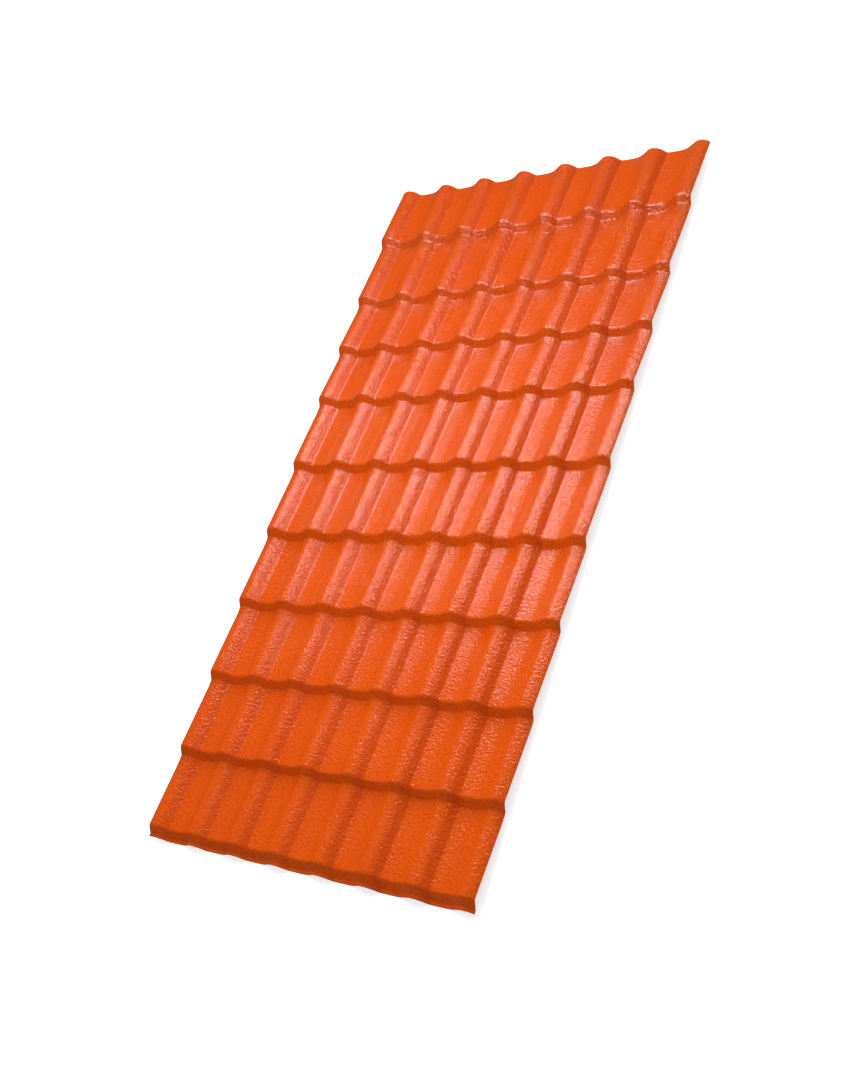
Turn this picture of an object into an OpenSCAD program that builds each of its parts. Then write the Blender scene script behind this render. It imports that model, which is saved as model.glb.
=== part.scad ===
// Moulded plastic roofing sheet with a Spanish-tile face.
// One skin of even thickness: rounded rolls run down the sheet side by side, gentle on their left and
// steep on their right, and along its length it falls in stepped courses like rows of tiles.
// Millimetres. X runs across the rolls, +Y up the slope to the top edge, +Z out of the weather face.
// The origin is the middle of the plane that the underside rests on.

/* [Rolls across the sheet] */
// Number of rolls
rolls = 8; // [2:1:8]
// Distance from one roll's crest to the next
wave_pitch = 146; // [130:1:180]
// Height of a crest above the flat pan between two rolls
wave_height = 27; // [22:1:29]
// Radius of a roll's rounded crest
crest_radius = 32; // [24:1:34]
// Width of a roll's gentle left side, from its crest to the pan
left_width = 76; // [74:1:88]
// Radius of the fillet at the foot of the left side
left_radius = 80; // [40:1:84]
// Width of a roll's steep right side, from its crest to the pan
right_width = 40; // [39:1:50]
// Radius of the fillet at the foot of the right side
right_radius = 8; // [4:1:10]
// Width of sheet outside the crest of the first and the last roll
edge_margin = 26; // [18:1:45]

/* [Courses along the sheet] */
// Number of courses
courses = 10; // [1:1:10]
// Length of a full course
course_length = 219; // [200:1:330]
// Length of a short course
short_length = 177; // [150:1:219]
// The short courses, counted down from the top edge (0 is none)
short_courses = [3, 4]; // [0:1:10]
// Height that a course gains before it drops to the next
step_height = 15; // [8:0.5:18]
// Steepness of the drop, in degrees from level
riser_angle = 38; // [25:1:60]
// Radius of the rounded lip over the drop
lip_radius = 14; // [4:1:20]
// Level land at the foot of each drop, on which the sheet rests
land = 20; // [12:1:40]
// Part of a land that is kept below the last drop, where the sheet is cut off
cut_land = 8; // [4:1:10]

/* [Skin] */
// Thickness of the sheet
thickness = 3; // [2:0.1:4]

/* [Hidden] */
terracotta = [0.87, 0.33, 0.09];
crest_turn = 30; // most degrees that one facet of a crest turns through

// Slope of the straight flank that touches both the crest's arc and the fillet's arc
function flank_angle(width, radius) =
    let (arcs = crest_radius + radius, centre_rise = arcs - wave_height)
        asin(arcs / norm([width, centre_rise])) - atan2(centre_rise, width);

// One side of a roll as [distance, height], from its crest out to where the flat pan starts. The fillet
// is one facet that touches its arc halfway, and reach is how far it takes both of its corners back.
function side(width, radius) =
    let (slope = flank_angle(width, radius), reach = radius * tan(slope / 4))
        let (facets = ceil(slope / crest_turn))
            [
                for (i = [0 : facets])
                    crest_radius * [sin(slope * i / facets), cos(slope * i / facets) - 1] + [0, wave_height],
                [width - reach, 0] + 2 * reach * [-cos(slope / 2), sin(slope / 2)],
                [width - reach, 0]
            ];

// A side that is cut off at the sheet's edge
function cut_off(side) = [
    for (p = side) if (p.x < edge_margin - thickness) p,
    [edge_margin, lookup(edge_margin, side)]
];

// One roll from left to right, as [distance, height] about its crest
function roll(left, right) = [
    for (i = [len(left) - 1 : -1 : 1]) [-left[i].x, left[i].y],
    each right
];

// The weather face across the sheet, as [x, height]
left_side = side(left_width, left_radius);
right_side = side(right_width, right_radius);
section = [
    for (i = [0 : rolls - 1])
        let (crest_x = (i - (rolls - 1) / 2) * wave_pitch)
            let (left = i == 0 ? cut_off(left_side) : left_side)
                let (right = i == rolls - 1 ? cut_off(right_side) : right_side)
                    for (p = roll(left, right)) p + [crest_x, 0]
];

// Length of course i, counted from 1 at the top edge, and how far down the sheet it starts
function length_of(i) = len(search(i, short_courses)) > 0 ? short_length : course_length;
function start_of(i) = i == 1 ? 0 : start_of(i - 1) + length_of(i - 1);
sheet_length = start_of(courses + 1);

// A course as [distance down the sheet, lift]: the rise, the lip, the drop and its foot. The lip is one
// facet that touches its arc halfway, and cut is how far it takes the corner back on both sides.
function course(length) =
    let (rise_start = land - cut_land, drop_foot = length - cut_land)
        let (lip_corner = [drop_foot - step_height / tan(riser_angle), step_height])
            let (rise_angle = atan2(step_height, lip_corner.x - rise_start))
                let (turn = rise_angle + riser_angle)
                    let (cut = lip_radius * (tan(turn / 2) - tan(turn / 4)))
                        [
                            [rise_start, 0],
                            lip_corner - cut * [cos(rise_angle), sin(rise_angle)],
                            lip_corner + cut * [cos(riser_angle), -sin(riser_angle)],
                            [drop_foot, 0]
                        ];

// The weather face down the whole sheet, from one cut end to the other
descent = [
    [0, 0],
    for (i = [1 : courses], p = course(length_of(i))) p + [start_of(i), 0],
    [sheet_length, 0]
];

// The heading of a line's piece that starts at point i, in degrees
function heading(line, i) = atan2(line[i + 1].y - line[i].y, line[i + 1].x - line[i].x);

// The same line one skin thickness lower, square to each of its pieces
function underside(line) = [
    for (i = [0 : len(line) - 1])
        let (before = heading(line, max(i - 1, 0)), after = heading(line, min(i, len(line) - 2)))
            let (middle = (before + after) / 2, reach = thickness / cos((after - before) / 2))
                line[i] + reach * [sin(middle), -cos(middle)]
];

// Every point of a face: each point of the section carried down every point of the descent
function face_points(across, down, lift) = [
    for (d = down, a = across) [a.x, sheet_length / 2 - d.x, a.y + d.y + lift]
];

// A closed skin between the weather face and the underside
module skin() {
    columns = len(section);
    rows = len(descent);
    below = columns * rows;
    points = concat(
        face_points(section, descent, thickness),
        face_points(underside(section), underside(descent), 2 * thickness)
    );
    weather_face = [
        for (r = [0 : rows - 2], c = [0 : columns - 2])
            let (p = r * columns + c) [p, p + 1, p + 1 + columns, p + columns]
    ];
    under_face = [for (f = weather_face) [for (i = [3 : -1 : 0]) f[i] + below]];
    border = [
        for (c = [0 : columns - 2]) c,
        for (r = [0 : rows - 2]) r * columns + columns - 1,
        for (c = [columns - 1 : -1 : 1]) (rows - 1) * columns + c,
        for (r = [rows - 1 : -1 : 1]) r * columns
    ];
    rim = [
        for (i = [0 : len(border) - 1])
            let (p = border[i], next = border[(i + 1) % len(border)])
                each [[next, p, p + below], [next, p + below, next + below]]
    ];
    polyhedron(points, concat(weather_face, under_face, rim));
}

module roofing_sheet() {
    color(terracotta) skin();
}

roofing_sheet();
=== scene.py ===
"""The looks of a tile-faced plastic roofing sheet, lying flat on a pale studio floor.

Everything is in metres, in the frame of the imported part: X across the rolls, +Y up the slope to the
top edge, +Z out of the weather face, with the origin in the middle of the plane that the sheet rests on.
"""

import logging
import math
from dataclasses import dataclass
from enum import Enum, IntEnum
from itertools import pairwise

import bmesh
import bpy
from mathutils import Matrix, Quaternion, Vector


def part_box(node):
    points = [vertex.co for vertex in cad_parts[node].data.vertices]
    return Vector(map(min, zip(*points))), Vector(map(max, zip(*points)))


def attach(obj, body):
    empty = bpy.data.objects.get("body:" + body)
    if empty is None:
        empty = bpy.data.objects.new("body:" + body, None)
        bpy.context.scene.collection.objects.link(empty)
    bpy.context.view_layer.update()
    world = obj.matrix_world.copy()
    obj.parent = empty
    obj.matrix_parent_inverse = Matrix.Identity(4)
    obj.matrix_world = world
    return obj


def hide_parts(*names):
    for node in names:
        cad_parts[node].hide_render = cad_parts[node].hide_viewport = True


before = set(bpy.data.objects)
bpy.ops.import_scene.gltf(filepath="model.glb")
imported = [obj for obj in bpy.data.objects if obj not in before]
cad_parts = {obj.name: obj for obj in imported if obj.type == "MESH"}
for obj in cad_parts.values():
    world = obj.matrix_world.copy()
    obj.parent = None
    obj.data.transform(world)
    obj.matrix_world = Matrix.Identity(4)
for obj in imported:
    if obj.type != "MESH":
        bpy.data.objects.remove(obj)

MM = 0.001
SAME_PLACE = 0.01 * MM  # points closer together than this are one
log = logging.getLogger("roofing_sheet")

Triple = tuple[float, float, float]
Rgba = tuple[float, float, float, float]


class Side(IntEnum):
    """The three kinds of surface of the sheet, as the order of its material slots."""

    WEATHER = 0
    REVERSE = 1
    CUT = 2


class Tone(Enum):
    """Named colours of the sheet's plastic, in linear light."""

    TERRACOTTA = (0.80, 0.098, 0.003)
    SUNLIT = (0.85, 0.115, 0.004)
    # Also the painted shade in the wrinkles of the weather face.
    BURNT = (0.62, 0.055, 0.002)
    # Painted shade: the dark colour of the cut edges, which draws a dark outline round the sheet.
    SCORCHED = (0.30, 0.040, 0.008)
    UMBER = (0.12, 0.025, 0.010)

    @property
    def rgba(self) -> Rgba:
        """The colour with a full alpha."""
        return (*self.value, 1.0)


def grey(level: float) -> Rgba:
    """A neutral grey with a full alpha, from 0 for black to 1 for white."""
    return (level, level, level, 1.0)


# ---------------------------------------------------------------------------------------------------
# Building materials


@dataclass(frozen=True)
class Noise:
    """A cloudy pattern.

    Attributes:
        scale: How many waves it has in a metre, or in the unit that it is drawn with.
        detail: How many finer layers lie over the broad one.
        roughness: How strong the finer layers are.
        distortion: How far the waves are bent.
        levels: The two levels that a mask of it takes as 0 and as 1.
    """

    scale: float
    detail: float
    roughness: float
    distortion: float = 0.0
    levels: tuple[float, float] = (0.0, 1.0)


class NodeBoard:
    """A node tree with short calls for adding and joining nodes.

    Whatever goes into a node's input is either a plain value or an output socket to link.
    """

    def __init__(self, tree: bpy.types.NodeTree) -> None:
        """Takes the tree to draw in.

        Args:
            tree: The node tree of a material, a world or a node group.
        """
        self.tree = tree

    def fill(self, socket: bpy.types.NodeSocket, value: object) -> None:
        """Gives an input its value or its link.

        Args:
            socket: The input.
            value: What goes into it.
        """
        if isinstance(value, bpy.types.NodeSocket):
            self.tree.links.new(value, socket)
        else:
            socket.default_value = value

    def feed(self, node: bpy.types.Node, name: str, value: object) -> None:
        """Fills the input of a node that has this name."""
        self.fill(next(s for s in node.inputs if s.name == name and s.enabled), value)

    def add(self, kind: str, settings: dict | None = None, **values: object) -> bpy.types.Node:
        """Adds a node.

        Args:
            kind: The node's type, such as "ShaderNodeMix".
            settings: The node's own properties, by name.
            values: What goes into its inputs, by name with _ for a space.

        Returns:
            The new node.
        """
        node = self.tree.nodes.new(kind)
        for name, value in (settings or {}).items():
            setattr(node, name, value)
        for name, value in values.items():
            self.feed(node, name.replace("_", " "), value)
        return node

    def calculate(self, kind: str, operation: str, operands: tuple[object, ...]) -> bpy.types.NodeSocket:
        """Adds a node that works something out.

        Args:
            kind: The node's type.
            operation: Its operation, such as "MULTIPLY".
            operands: What goes into its inputs, in their order.

        Returns:
            The result's socket.
        """
        node = self.add(kind, {"operation": operation})
        for socket, value in zip((s for s in node.inputs if s.enabled), operands):
            self.fill(socket, value)
        return next(s for s in node.outputs if s.enabled)

    def math(self, operation: str, *operands: object) -> bpy.types.NodeSocket:
        """Works out a number from numbers."""
        return self.calculate("ShaderNodeMath", operation, operands)

    def vector_math(self, operation: str, *operands: object) -> bpy.types.NodeSocket:
        """Works out a vector or a number from vectors."""
        return self.calculate("ShaderNodeVectorMath", operation, operands)

    def remap(self, value: bpy.types.NodeSocket, source: tuple[float, float],
              target: tuple[float, float] = (0.0, 1.0)) -> bpy.types.NodeSocket:
        """Maps a range of numbers to another, and clamps it.

        Args:
            value: The socket to map.
            source: The two numbers that become the ends of the target.
            target: The ends of the new range.

        Returns:
            The mapped socket.
        """
        node = self.add("ShaderNodeMapRange", {"clamp": True}, Value=value)
        for name, number in zip(("From Min", "From Max", "To Min", "To Max"), (*source, *target)):
            self.feed(node, name, number)
        return node.outputs["Result"]

    def blend(self, share: object, first: object, second: object) -> bpy.types.NodeSocket:
        """Mixes two colours.

        Args:
            share: How much of the second shows, from 0 to 1.
            first: The first colour.
            second: The second colour.

        Returns:
            The mixed colour's socket.
        """
        node = self.add("ShaderNodeMix", {"data_type": "RGBA"}, Factor=share, A=first, B=second)
        return next(s for s in node.outputs if s.enabled)

    def choose(self, flag: bpy.types.NodeSocket, plain: object, flagged: object) -> bpy.types.NodeSocket:
        """Chooses between two numbers.

        Args:
            flag: A socket that is 0 or 1.
            plain: The number where the flag is 0.
            flagged: The number where the flag is 1.

        Returns:
            The chosen number's socket.
        """
        return self.math("MULTIPLY_ADD", flag, self.math("SUBTRACT", flagged, plain), plain)

    def noise(self, pattern: Noise, place: bpy.types.NodeSocket,
              density: bpy.types.NodeSocket | None = None) -> bpy.types.Node:
        """Draws a cloudy pattern.

        Args:
            pattern: The pattern.
            place: The coordinates to draw it on.
            density: How many of its units there are in a metre, where its scale isn't for a metre.

        Returns:
            The pattern's node.
        """
        scale = pattern.scale if density is None else self.math("MULTIPLY", density, pattern.scale)
        return self.add(
            "ShaderNodeTexNoise", Vector=place, Scale=scale, Detail=pattern.detail,
            Roughness=pattern.roughness, Distortion=pattern.distortion,
        )

    def mask(self, pattern: Noise, place: bpy.types.NodeSocket,
             target: tuple[float, float] = (0.0, 1.0)) -> bpy.types.NodeSocket:
        """Draws a cloudy pattern as a mask, or in a range of its own.

        Args:
            pattern: The pattern.
            place: The coordinates to draw it on.
            target: What its two levels become.

        Returns:
            The mask's socket.
        """
        return self.remap(self.noise(pattern, place).outputs["Fac"], pattern.levels, target)


class NodeGroup:
    """A shader node group that is built once and placed in each material that uses it.

    Attributes:
        name: The group's name.
        inputs: The name and the kind of each of its inputs.
        outputs: The name and the kind of each of its outputs.
    """

    name = ""
    inputs: tuple[tuple[str, str], ...] = ()
    outputs: tuple[tuple[str, str], ...] = ()

    def __init__(self) -> None:
        """Makes the group's sockets and draws its nodes."""
        self.tree = bpy.data.node_groups.new(self.name, "ShaderNodeTree")
        for way, sockets in (("INPUT", self.inputs), ("OUTPUT", self.outputs)):
            for name, kind in sockets:
                self.tree.interface.new_socket(name, in_out=way, socket_type=kind)
        source = self.tree.nodes.new("NodeGroupInput").outputs
        target = self.tree.nodes.new("NodeGroupOutput").inputs
        for (name, _), result in zip(self.outputs, self.draw(NodeBoard(self.tree), source)):
            self.tree.links.new(result, target[name])

    def draw(self, board: NodeBoard, source: bpy.types.NodeOutputs) -> tuple[bpy.types.NodeSocket, ...]:
        """Draws the group's nodes.

        Args:
            board: The group's own tree.
            source: The sockets that its inputs arrive on, by name.

        Returns:
            One socket for each of the outputs, in their order.
        """
        raise NotImplementedError

    def place(self, board: NodeBoard, **values: object) -> bpy.types.NodeOutputs:
        """Places the group in a material.

        Args:
            board: The material's tree.
            values: What goes into the group's inputs, as NodeBoard.add takes it.

        Returns:
            The group's outputs there, by name.
        """
        return board.add("ShaderNodeGroup", {"node_tree": self.tree}, **values).outputs


class LeatherGrain(NodeGroup):
    """The embossed leather grain: winding ridges, with faint pebbles and a finer tooth over them.

    Attributes:
        ridges: The winding ridges, in waves for a pebble. Its levels are where the wrinkle between
            two ridges starts and where it is deepest.
        bend: The pattern that bends the pebbles' rims, in waves for a pebble.
        bend_reach: How far the rims are bent, in pebbles.
        rim: How far in from its rim a pebble has its full height, in pebbles.
        dome: The power that rounds a pebble's rise.
        pebble_share: The height of the pebbles, where that of the ridges is 1.
        tooth: The fine tooth, in waves for a pebble.
        tooth_share: The height of the tooth, where that of the ridges is 1.
    """

    name = "Leather grain"
    inputs = (
        ("Vector", "NodeSocketVector"),
        ("Pebble size", "NodeSocketFloat"),
        ("Stretch", "NodeSocketFloat"),
    )
    outputs = (("Height", "NodeSocketFloat"), ("Wrinkle", "NodeSocketFloat"))

    ridges = Noise(scale=1.0, detail=1.0, roughness=0.5, distortion=0.6, levels=(0.53, 0.42))
    bend = Noise(scale=0.55, detail=2.0, roughness=0.5)
    bend_reach = 1.6
    rim = 0.32
    dome = 0.6
    pebble_share = 0.06
    tooth = Noise(scale=3.0, detail=2.0, roughness=0.6)
    tooth_share = 0.03

    def draw(self, board: NodeBoard, source: bpy.types.NodeOutputs) -> tuple[bpy.types.NodeSocket, ...]:
        """Draws the ridges as noise, the pebbles as Voronoi cells with bent rims, and the tooth as noise.

        Args:
            board: The group's own tree.
            source: The sockets that its inputs arrive on, by name.

        Returns:
            The height, and a mask of the wrinkles between the ridges.
        """
        density = board.math("DIVIDE", 1.0, source["Pebble size"])
        shorter = board.math("DIVIDE", 1.0, source["Stretch"])
        squeeze = board.add("ShaderNodeCombineXYZ", X=shorter, Y=1.0, Z=shorter).outputs["Vector"]
        across = board.vector_math("MULTIPLY", source["Vector"], squeeze)
        ridge = board.noise(self.ridges, across, density).outputs["Fac"]
        reach = board.math("MULTIPLY", source["Pebble size"], self.bend_reach)
        bend = board.vector_math("SCALE", board.noise(self.bend, across, density).outputs["Color"], reach)
        from_rim = board.add(
            "ShaderNodeTexVoronoi", {"feature": "DISTANCE_TO_EDGE"},
            Vector=board.vector_math("ADD", across, bend), Scale=density,
        ).outputs["Distance"]
        pebble = board.math("POWER", board.remap(from_rim, (0.0, self.rim)), self.dome)
        tooth = board.noise(self.tooth, source["Vector"], density).outputs["Fac"]
        with_pebbles = board.math("MULTIPLY_ADD", pebble, self.pebble_share, ridge)
        height = board.math("MULTIPLY_ADD", tooth, self.tooth_share, with_pebbles)
        return height, board.remap(ridge, self.ridges.levels)


class PlasticTint(NodeGroup):
    """Coloured plastic that isn't quite even: broad clouds, extrusion streaks and a fine mottle.

    Attributes:
        clouds: The broad clouds.
        cloud_share: How strong they are.
        streaks: The streaks.
        streak_squeeze: How the coordinates are squeezed, which draws the streaks out along the sheet.
        streak_share: How strong they are.
        specks: The fine mottle, whose strength is an input.
    """

    name = "Plastic tint"
    inputs = (
        ("Vector", "NodeSocketVector"),
        ("Light", "NodeSocketColor"),
        ("Body", "NodeSocketColor"),
        ("Deep", "NodeSocketColor"),
        ("Mottle", "NodeSocketFloat"),
    )
    outputs = (("Color", "NodeSocketColor"),)

    clouds = Noise(scale=3.0, detail=3.0, roughness=0.5, levels=(0.35, 0.65))
    cloud_share = 0.6
    streaks = Noise(scale=90.0, detail=3.0, roughness=0.6, levels=(0.35, 0.7))
    streak_squeeze = (1.0, 0.03, 1.0)
    streak_share = 0.12
    specks = Noise(scale=140.0, detail=4.0, roughness=0.65, levels=(0.4, 0.75))

    def draw(self, board: NodeBoard, source: bpy.types.NodeOutputs) -> tuple[bpy.types.NodeSocket, ...]:
        """Lays the clouds, the streaks and the mottle over the main colour.

        Args:
            board: The group's own tree.
            source: The sockets that its inputs arrive on, by name.

        Returns:
            The colour.
        """
        place = source["Vector"]
        along = board.add("ShaderNodeMapping", Vector=place, Scale=self.streak_squeeze).outputs["Vector"]
        layers = (
            (self.clouds, place, self.cloud_share, source["Light"]),
            (self.streaks, along, self.streak_share, source["Deep"]),
            (self.specks, place, source["Mottle"], source["Deep"]),
        )
        tint = source["Body"]
        for pattern, coordinates, strength, colour in layers:
            share = board.math("MULTIPLY", board.mask(pattern, coordinates), strength)
            tint = board.blend(share, tint, colour)
        return (tint,)


@dataclass(frozen=True)
class PlasticFinish:
    """A finish of the sheet's plastic.

    Attributes:
        name: The material's name.
        light: The colour of its paler clouds.
        body: Its main colour.
        deep: The colour of its streaks, and of the painted shade in its wrinkles.
        gloss: Its lowest and highest roughness.
        pebble: The size of one pebble of its grain, or of a saw mark on a cut edge.
        stretch: How much longer a pebble is across the sheet than along it.
        grain_depth: How deep the grain is.
        ripple_depth: How deep the slow unevenness of the moulded surface is.
        mottle: How strong the fine mottle is.
        wrinkle_share: How much of the deep colour shows in a wrinkle, as painted shade.
        wrinkle_wear: How much rougher a wrinkle is.
        patches: The pattern of its duller and glossier patches.
        ripples: The pattern of the slow unevenness.
        ior: The plastic's index of refraction.
    """

    name: str
    light: Tone
    body: Tone
    deep: Tone
    gloss: tuple[float, float]
    pebble: float
    stretch: float
    grain_depth: float
    ripple_depth: float
    mottle: float
    wrinkle_share: float = 0.4
    wrinkle_wear: float = 0.06
    patches: Noise = Noise(scale=11.0, detail=4.0, roughness=0.6, levels=(0.3, 0.7))
    ripples: Noise = Noise(scale=14.0, detail=1.0, roughness=0.4)
    ior: float = 1.5

    def make(self, grain: LeatherGrain, tint: PlasticTint) -> bpy.types.Material:
        """Builds the material.

        Args:
            grain: The shared grain group.
            tint: The shared colour group.

        Returns:
            The material.
        """
        material = bpy.data.materials.new(self.name)
        material.use_nodes = True
        board = NodeBoard(material.node_tree)
        place = board.add("ShaderNodeTexCoord").outputs["Object"]
        colour = tint.place(
            board, Vector=place, Light=self.light.rgba, Body=self.body.rgba, Deep=self.deep.rgba,
            Mottle=self.mottle,
        )["Color"]
        relief = grain.place(board, Vector=place, Pebble_size=self.pebble, Stretch=self.stretch)
        wrinkle = relief["Wrinkle"]
        # Painted shade: the wrinkles between the ridges are darkened towards the deep colour.
        wrinkle_shaded = board.blend(board.math("MULTIPLY", wrinkle, self.wrinkle_share), colour, self.deep.rgba)
        even_rough = board.mask(self.patches, place, self.gloss)
        rough = board.math("MULTIPLY_ADD", wrinkle, self.wrinkle_wear, even_rough)
        ripple = board.noise(self.ripples, place).outputs["Fac"]
        slow = board.add("ShaderNodeBump", Strength=1.0, Distance=self.ripple_depth, Height=ripple)
        fine = board.add(
            "ShaderNodeBump", Strength=1.0, Distance=self.grain_depth, Height=relief["Height"],
            Normal=slow.outputs["Normal"],
        )
        shader = board.tree.nodes["Principled BSDF"]
        board.feed(shader, "Base Color", wrinkle_shaded)
        board.feed(shader, "Roughness", rough)
        board.feed(shader, "Normal", fine.outputs["Normal"])
        board.feed(shader, "IOR", self.ior)
        return material


# ---------------------------------------------------------------------------------------------------
# The sheet


@dataclass(frozen=True)
class Flank:
    """One side of a roll: half of its crest, a straight slope and a fillet at the pan.

    Attributes:
        width: Its width, from the crest to the pan.
        foot_radius: The radius of the fillet at its foot.
        towards: 1 for the right side and -1 for the left side.
    """

    width: float
    foot_radius: float
    towards: int

    def slope(self, height: float, crest_radius: float) -> float:
        """The angle of the straight slope that touches both arcs.

        Args:
            height: The height of the crest above the pan.
            crest_radius: The radius of the rounded crest.

        Returns:
            The angle from level, in radians.
        """
        arcs = crest_radius + self.foot_radius
        rise = arcs - height
        return math.asin(arcs / math.hypot(self.width, rise)) - math.atan2(rise, self.width)


@dataclass(frozen=True)
class Rolls:
    """The section across the sheet: rounded rolls with flat pans between them.

    Attributes:
        count: How many rolls there are.
        pitch: The distance from one crest to the next.
        height: The height of a crest above the pan.
        crest_radius: The radius of the rounded crest.
        left: The gentle left side of a roll.
        right: The steep right side of a roll.
        steps: How many pieces each arc has.
    """

    count: int = 8
    pitch: float = 146 * MM
    height: float = 27 * MM
    crest_radius: float = 32 * MM
    left: Flank = Flank(width=76 * MM, foot_radius=80 * MM, towards=-1)
    right: Flank = Flank(width=40 * MM, foot_radius=8 * MM, towards=1)
    steps: int = 6

    def draw(self, bm: bmesh.types.BMesh, half_width: float, level: float) -> list[bmesh.types.BMEdge]:
        """Draws the section as one chain of edges along X.

        Args:
            bm: The mesh to draw in.
            half_width: Where the section is cut off on both sides.
            level: The height of the pans.

        Returns:
            The edges of the chain.
        """
        crest = bmesh.ops.create_vert(bm, co=(0, 0, level + self.height))["vert"]
        self.draw_side(bm, crest, self.left, level)
        pan = self.draw_side(bm, crest, self.right, level)
        self.run(bm, pan, (self.pitch - self.left.width - self.right.width, 0, 0))
        roll = bm.verts[:] + bm.edges[:]
        for i in range(1, self.count):
            copy = bmesh.ops.duplicate(bm, geom=roll)["geom"]
            verts = [g for g in copy if isinstance(g, bmesh.types.BMVert)]
            bmesh.ops.translate(bm, verts=verts, vec=(i * self.pitch, 0, 0))
        bmesh.ops.remove_doubles(bm, verts=bm.verts[:], dist=SAME_PLACE)
        bmesh.ops.translate(bm, verts=bm.verts[:], vec=(-(self.count - 1) / 2 * self.pitch, 0, 0))
        for side in (-1, 1):
            bmesh.ops.bisect_plane(
                bm, geom=bm.verts[:] + bm.edges[:], dist=SAME_PLACE, plane_co=(side * half_width, 0, 0),
                plane_no=(side, 0, 0), clear_outer=True,
            )
        return bm.edges[:]

    def draw_side(self, bm: bmesh.types.BMesh, crest: list[bmesh.types.BMVert], flank: Flank,
                  level: float) -> list[bmesh.types.BMVert]:
        """Draws one side of a roll, from its crest to the pan.

        Args:
            bm: The mesh.
            crest: The vertex at the crest.
            flank: The side to draw.
            level: The height of the pans.

        Returns:
            The vertex at the edge of the pan.
        """
        slope = flank.slope(self.height, self.crest_radius)
        turn = flank.towards * slope
        arcs = self.crest_radius + flank.foot_radius
        straight = flank.width - arcs * math.sin(slope)
        top = self.turn(bm, crest, (0, 0, level + self.height - self.crest_radius), turn)
        foot = self.run(bm, top, (flank.towards * straight, 0, -straight * math.tan(slope)))
        return self.turn(bm, foot, (flank.towards * flank.width, 0, level + flank.foot_radius), -turn)

    def turn(self, bm: bmesh.types.BMesh, tip: list[bmesh.types.BMVert], centre: Triple,
             angle: float) -> list[bmesh.types.BMVert]:
        """Carries the end of a chain round an arc about the Y axis.

        Args:
            bm: The mesh.
            tip: The vertex at the chain's end.
            centre: The arc's centre.
            angle: The angle to turn, in radians.

        Returns:
            The vertex at the new end.
        """
        made = bmesh.ops.spin(
            bm, geom=tip, cent=centre, axis=(0, 1, 0), angle=angle, steps=self.steps, use_merge=False,
            use_duplicate=False,
        )["geom_last"]
        return [g for g in made if isinstance(g, bmesh.types.BMVert)]

    @staticmethod
    def run(bm: bmesh.types.BMesh, tip: list[bmesh.types.BMVert], step: Triple) -> list[bmesh.types.BMVert]:
        """Carries the end of a chain straight on.

        Args:
            bm: The mesh.
            tip: The vertex at the chain's end.
            step: How far it goes.

        Returns:
            The vertex at the new end.
        """
        made = bmesh.ops.extrude_vert_indiv(bm, verts=tip)["verts"]
        bmesh.ops.translate(bm, verts=made, vec=step)
        return made


@dataclass(frozen=True)
class Courses:
    """The descent along the sheet: each course rises, rounds over its lip and drops to the next.

    Attributes:
        count: How many courses there are.
        full: The length of a full course.
        short_ones: The short courses, counted down from the top edge.
        step_height: The height that a course gains before its drop.
        riser_angle: The steepness of the drop, in degrees.
        lip_radius: The radius of the lip over the drop.
        foot_radius: The radius of the hollow at the drop's foot.
        land: The level land at the foot of each drop.
        cut_land: The part of the land that is kept below the last drop.
        rise_steps: How many pieces the rise has.
        lip_steps: How many pieces the lip has.
        foot_steps: How many pieces the hollow has.
    """

    count: int = 10
    full: float = 219 * MM
    short_ones: tuple[int, ...] = (3, 4)
    step_height: float = 15 * MM
    riser_angle: float = 38.0
    lip_radius: float = 14 * MM
    foot_radius: float = 9 * MM
    land: float = 20 * MM
    cut_land: float = 8 * MM
    rise_steps: int = 4
    lip_steps: int = 6
    foot_steps: int = 4

    def lengths(self, sheet_length: float) -> list[float]:
        """The length of each course, from the top edge down.

        Args:
            sheet_length: The length of the whole sheet, which the full courses leave to the short ones.

        Returns:
            The lengths.
        """
        full_count = self.count - len(self.short_ones)
        short = (sheet_length - full_count * self.full) / len(self.short_ones)
        return [short if i in self.short_ones else self.full for i in range(1, self.count + 1)]

    def profile(self, length: float) -> list[Vector]:
        """One course: its rise, its lip, its drop and the hollow at the foot.

        Args:
            length: The length of the course.

        Returns:
            Points of distance down from the course's start and lift above the land.
        """
        drop_width = self.step_height / math.tan(math.radians(self.riser_angle))
        start = Vector((self.land - self.cut_land, 0.0))
        foot = Vector((length - self.cut_land, 0.0))
        lip = foot + Vector((-drop_width, self.step_height))
        rounded_lip = self.fillet(start, lip, foot, self.lip_radius, self.lip_steps)
        hollow = self.fillet(lip, foot, Vector((length, 0.0)), self.foot_radius, self.foot_steps)
        rise = [start.lerp(rounded_lip[0], i / self.rise_steps) for i in range(self.rise_steps)]
        return rise + rounded_lip + hollow

    def stations(self, sheet_length: float) -> list[Vector]:
        """The weather face down the whole sheet.

        Args:
            sheet_length: The length of the whole sheet.

        Returns:
            Points of distance down from the top edge and lift above the land.
        """
        points = [Vector((0.0, 0.0))]
        top = 0.0
        for length in self.lengths(sheet_length):
            points += [p + Vector((top, 0.0)) for p in self.profile(length)]
            top += length
        return points + [Vector((sheet_length, 0.0))]

    @staticmethod
    def fillet(before: Vector, corner: Vector, after: Vector, radius: float, steps: int) -> list[Vector]:
        """Rounds a corner of a line.

        Args:
            before: A point on the line before the corner.
            corner: The corner.
            after: A point on the line after it.
            radius: The arc's radius.
            steps: How many pieces the arc has.

        Returns:
            The arc's points, from the tangent point before the corner to the one after it.
        """
        into = (corner - before).normalized()
        out = (after - corner).normalized()
        turn = -into.angle_signed(out)
        start = corner - into * radius * math.tan(abs(turn) / 2)
        centre = start + into.orthogonal() * math.copysign(radius, turn)
        return [centre + Matrix.Rotation(turn * i / steps, 2) @ (start - centre) for i in range(steps + 1)]


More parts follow.
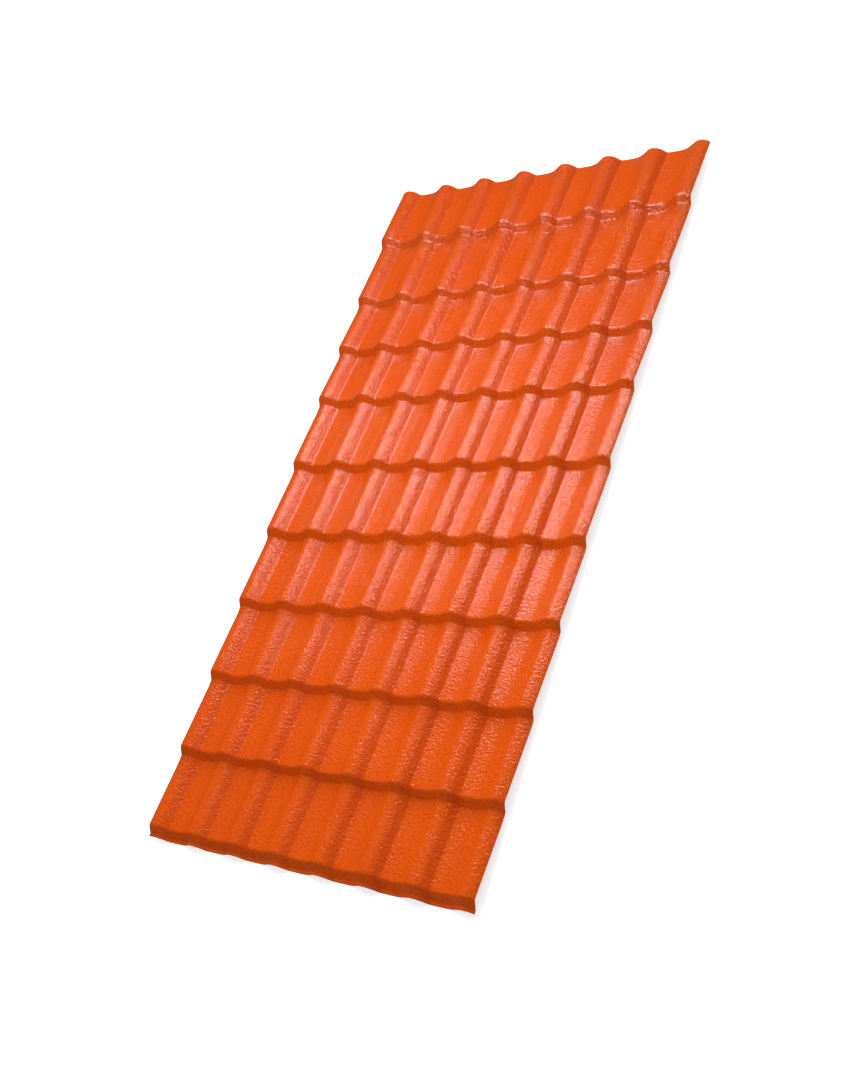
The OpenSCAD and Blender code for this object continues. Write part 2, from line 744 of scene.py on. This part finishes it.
@dataclass(frozen=True)
class RoofingSheet:
    """The moulded sheet: one skin of even thickness.

    Attributes:
        rolls: The section across it.
        courses: The descent along it.
        thickness: The thickness of the skin.
        rim_round: How far the cut edges are eased.
        rim_steps: How many pieces the easing has.
        sharp_from: The angle between two faces from which their edge shades as sharp, in degrees.
        node: The CAD node that it stands for.
    """

    rolls: Rolls = Rolls()
    courses: Courses = Courses()
    thickness: float = 3 * MM
    rim_round: float = 0.8 * MM
    rim_steps: int = 2
    sharp_from: float = 50.0
    node: str = "roofing_sheet"

    def build(self) -> bpy.types.Object:
        """Models the sheet where the CAD node is, and lets it stand for that node.

        Returns:
            The finished piece, without its materials.
        """
        lowest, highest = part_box(self.node)
        bm = bmesh.new()
        section = self.rolls.draw(bm, (highest.x - lowest.x) / 2, lowest.z + self.thickness)
        bmesh.ops.translate(bm, verts=bm.verts[:], vec=(0, highest.y, 0))
        self.carry(bm, section, highest.y - lowest.y)
        self.thicken(bm)
        mesh = bpy.data.meshes.new("moulded_skin")
        bm.to_mesh(mesh)
        bm.free()
        mesh.set_sharp_from_angle(angle=math.radians(self.sharp_from))
        piece = bpy.data.objects.new("moulded_skin", mesh)
        bpy.context.scene.collection.objects.link(piece)
        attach(piece, "root")
        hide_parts(self.node)
        return piece

    def carry(self, bm: bmesh.types.BMesh, section: list[bmesh.types.BMEdge], length: float) -> None:
        """Carries the section down the courses, which makes the weather face, and faces it upwards.

        Args:
            bm: The mesh.
            section: The chain of edges at the top edge.
            length: The length of the sheet.
        """
        for above, below in pairwise(self.courses.stations(length)):
            made = bmesh.ops.extrude_edge_only(bm, edges=section)["geom"]
            verts = [g for g in made if isinstance(g, bmesh.types.BMVert)]
            section = [g for g in made if isinstance(g, bmesh.types.BMEdge)]
            bmesh.ops.translate(bm, verts=verts, vec=(0, above.x - below.x, below.y - above.y))
        bmesh.ops.recalc_face_normals(bm, faces=bm.faces[:])
        bm.faces.ensure_lookup_table()
        if bm.faces[0].normal.z < 0:
            bmesh.ops.reverse_faces(bm, faces=bm.faces[:])

    def thicken(self, bm: bmesh.types.BMesh) -> None:
        """Gives the weather face its thickness, sorts the faces into sides and eases the cut edges.

        Args:
            bm: The mesh, with only the weather face in it.
        """
        weather = set(bm.faces)
        bmesh.ops.solidify(bm, geom=bm.faces[:], thickness=self.thickness)
        for face in bm.faces:
            if face not in weather:
                at_rim = any(other in weather for edge in face.edges for other in edge.link_faces)
                face.material_index = Side.CUT if at_rim else Side.REVERSE
            face.smooth = True
        rims = [e for e in bm.edges if len({f.material_index for f in e.link_faces}) == 2]
        eased = bmesh.ops.bevel(
            bm, geom=rims, offset=self.rim_round, offset_type="OFFSET", affect="EDGES",
            segments=self.rim_steps, profile=0.5, material=-1,
        )["faces"]
        # The eased rims take the dark cut-edge colour too, as part of the painted shade of the outline.
        for face in eased:
            face.material_index = Side.CUT

    @staticmethod
    def dress(piece: bpy.types.Object) -> None:
        """Gives each side of the sheet its finish.

        Args:
            piece: The sheet.
        """
        finishes = {
            Side.WEATHER: PlasticFinish(
                "Weather face", light=Tone.SUNLIT, body=Tone.TERRACOTTA, deep=Tone.BURNT, gloss=(0.14, 0.18),
                pebble=5.5 * MM, stretch=1.5, grain_depth=1.8 * MM, ripple_depth=0.6 * MM, mottle=0.12,
            ),
            Side.REVERSE: PlasticFinish(
                "Reverse", light=Tone.TERRACOTTA, body=Tone.TERRACOTTA, deep=Tone.BURNT, gloss=(0.5, 0.62),
                pebble=4 * MM, stretch=1.2, grain_depth=0.05 * MM, ripple_depth=0.5 * MM, mottle=0.25,
            ),
            # Painted shade: the cut edges and their eased rims are coloured dark, which draws a dark outline
            # round the sheet.
            Side.CUT: PlasticFinish(
                "Cut edge", light=Tone.SCORCHED, body=Tone.SCORCHED, deep=Tone.UMBER, gloss=(0.6, 0.75),
                pebble=1.2 * MM, stretch=1.0, grain_depth=0.12 * MM, ripple_depth=0.2 * MM, mottle=0.5,
            ),
        }
        grain = LeatherGrain()
        tint = PlasticTint()
        for side in Side:
            piece.data.materials.append(finishes[side].make(grain, tint))


# ---------------------------------------------------------------------------------------------------
# The studio


@dataclass(frozen=True)
class Skylight:
    """Soft daylight from low over the sheet's top edge, which gives no highlights.

    Attributes:
        name: Its name.
        strength: Its strength.
        spread: The width of the patch of sky that it comes from, in degrees.
        source: The direction that it comes from.
    """

    name: str = "skylight"
    strength: float = 3.0
    spread: float = 50.0
    source: Triple = (-0.3, 3.0, 1.0)

    def hang(self) -> None:
        """Puts the daylight in the scene."""
        data = bpy.data.lights.new(self.name, "SUN")
        data.energy = self.strength
        data.angle = math.radians(self.spread)
        skylight = bpy.data.objects.new(self.name, data)
        skylight.rotation_mode = "QUATERNION"
        skylight.rotation_quaternion = (-Vector(self.source)).to_track_quat("-Z", "Y")
        skylight.visible_glossy = False
        bpy.context.scene.collection.objects.link(skylight)


@dataclass(frozen=True)
class SoftBox:
    """A soft box that hangs level over the sheet and shines straight down.

    Attributes:
        name: Its name.
        stand: The place of its middle.
        size: Its width and length.
        power: Its power, in watts.
        turn: How far it is turned anticlockwise, seen from above, in degrees.
        glossy: Whether the gloss of the sheet shows it.
        diffuse: Whether it lights the plastic's own colour and the floor.
    """

    name: str
    stand: Triple
    size: tuple[float, float]
    power: float
    turn: float = 0.0
    glossy: bool = True
    diffuse: bool = True

    def hang(self) -> None:
        """Hangs the soft box in the scene."""
        data = bpy.data.lights.new(self.name, "AREA")
        data.shape = "RECTANGLE"
        data.size, data.size_y = self.size
        data.energy = self.power
        lamp = bpy.data.objects.new(self.name, data)
        lamp.location = self.stand
        lamp.rotation_euler.z = math.radians(self.turn)
        lamp.visible_glossy = self.glossy
        lamp.visible_diffuse = self.diffuse
        bpy.context.scene.collection.objects.link(lamp)


@dataclass(frozen=True)
class Studio:
    """A pale floor, a white surround and soft light.

    Attributes:
        floor_size: The floor's width and length.
        floor_tone: The floor's grey.
        floor_mirrored: The grey that the gloss of the sheet finds in place of the floor's own.
        floor_lift: What the floor adds for the camera alone, so that it looks near white.
        floor_roughness: The floor's roughness.
        surround: The light of the surround, for everything but the gloss and the camera.
        gleam: The light that the gloss finds in the surround's dull part and in its bright part.
        bright_side: The direction of the bright part.
        gleam_edges: How far that way the dull part ends and the bright part begins.
        skylight: The broad light that shades the rolls and the drops.
        overhead: The light that brightens the middle of the sheet, without a highlight.
        strip: The soft box whose reflection runs over the rolls.
    """

    floor_size: float = 40.0
    floor_tone: float = 0.80
    floor_mirrored: float = 0.12
    floor_lift: float = 0.66
    floor_roughness: float = 0.9
    surround: float = 0.35
    gleam: tuple[float, float] = (0.005, 0.05)
    bright_side: Triple = (-0.5, 1.0, 0.0)
    gleam_edges: tuple[float, float] = (-0.15, 0.6)
    skylight: Skylight = Skylight()
    overhead: SoftBox = SoftBox(
        "overhead", stand=(0.0, 0.2, 1.7), size=(0.4, 1.85), power=17.0, glossy=False
    )
    strip: SoftBox = SoftBox(
        "strip", stand=(0.46, 1.0, 1.4), size=(3.34, 0.68), power=59.0, turn=8.4, diffuse=False
    )

    def lay_floor(self) -> None:
        """Lays the floor."""
        bm = bmesh.new()
        bmesh.ops.create_grid(bm, x_segments=1, y_segments=1, size=self.floor_size / 2)
        mesh = bpy.data.meshes.new("floor")
        bm.to_mesh(mesh)
        bm.free()
        floor = bpy.data.objects.new("floor", mesh)
        bpy.context.scene.collection.objects.link(floor)
        floor.data.materials.append(self.floor_paint())

    def floor_paint(self) -> bpy.types.Material:
        """Builds the floor's dull paint, which is near white for the camera and darker for the gloss.

        Returns:
            The material.
        """
        material = bpy.data.materials.new("Studio floor")
        material.use_nodes = True
        board = NodeBoard(material.node_tree)
        path = board.add("ShaderNodeLightPath").outputs
        tone = board.blend(path["Is Glossy Ray"], grey(self.floor_tone), grey(self.floor_mirrored))
        shader = board.tree.nodes["Principled BSDF"]
        board.feed(shader, "Base Color", tone)
        board.feed(shader, "Roughness", self.floor_roughness)
        board.feed(shader, "Specular IOR Level", 0.0)
        board.feed(shader, "Emission Color", grey(1.0))
        board.feed(shader, "Emission Strength", board.choose(path["Is Camera Ray"], 0.0, self.floor_lift))
        return material

    def set_surround(self) -> None:
        """Makes the surround white for the camera, dim for the gloss and a soft light for the rest.

        The gloss finds it a little brighter over the top edge than over the rest.
        """
        world = bpy.data.worlds.new("Surround")
        bpy.context.scene.world = world
        world.use_nodes = True
        board = NodeBoard(world.node_tree)
        path = board.add("ShaderNodeLightPath").outputs
        toward = board.add("ShaderNodeTexCoord").outputs["Generated"]
        brightness = board.vector_math("DOT_PRODUCT", toward, self.bright_side)
        gleam = board.remap(brightness, self.gleam_edges, self.gleam)
        soft = board.choose(path["Is Glossy Ray"], self.surround, gleam)
        background = board.tree.nodes["Background"]
        board.feed(background, "Color", grey(1.0))
        board.feed(background, "Strength", board.choose(path["Is Camera Ray"], soft, 1.0))

    def light(self) -> None:
        """Hangs the three lights."""
        for lamp in (self.skylight, self.overhead, self.strip):
            lamp.hang()


@dataclass(frozen=True)
class Viewpoint:
    """The camera, which looks down on the sheet from its lower right.

    Attributes:
        aim: The point of the floor in the middle of the view.
        azimuth: The side it stands on, in degrees round from -Y towards +X.
        elevation: Its height above the floor, in degrees.
        distance: How far it stands from the aim.
        roll: How far its top leans to the right, in degrees.
        lens: Its focal length, in millimetres.
    """

    aim: Triple = (0.0439, -0.1323, 0.0)
    azimuth: float = 60.89
    elevation: float = 43.624
    distance: float = 3.656
    roll: float = 49.713
    lens: float = 47.46

    def place(self) -> None:
        """Places the camera and makes it the scene's own."""
        around = math.radians(self.azimuth)
        up = math.radians(self.elevation)
        back = Vector((math.sin(around) * math.cos(up), -math.cos(around) * math.cos(up), math.sin(up)))
        data = bpy.data.cameras.new("camera")
        data.lens = self.lens
        camera = bpy.data.objects.new("camera", data)
        camera.location = Vector(self.aim) + back * self.distance
        camera.rotation_mode = "QUATERNION"
        lean = Quaternion((0, 0, 1), -math.radians(self.roll))
        camera.rotation_quaternion = (-back).to_track_quat("-Z", "Y") @ lean
        bpy.context.scene.collection.objects.link(camera)
        bpy.context.scene.camera = camera


def main() -> None:
    """Builds the sheet and the studio."""
    logging.basicConfig(level=logging.INFO, format="%(name)s: %(message)s")
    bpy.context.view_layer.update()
    sheet = RoofingSheet()
    piece = sheet.build()
    sheet.dress(piece)
    log.info("%s: %d faces", piece.name, len(piece.data.polygons))
    studio = Studio()
    studio.lay_floor()
    studio.set_surround()
    studio.light()
    Viewpoint().place()
    bpy.context.scene.view_settings.view_transform = "Standard"


if __name__ == "__main__":
    main()
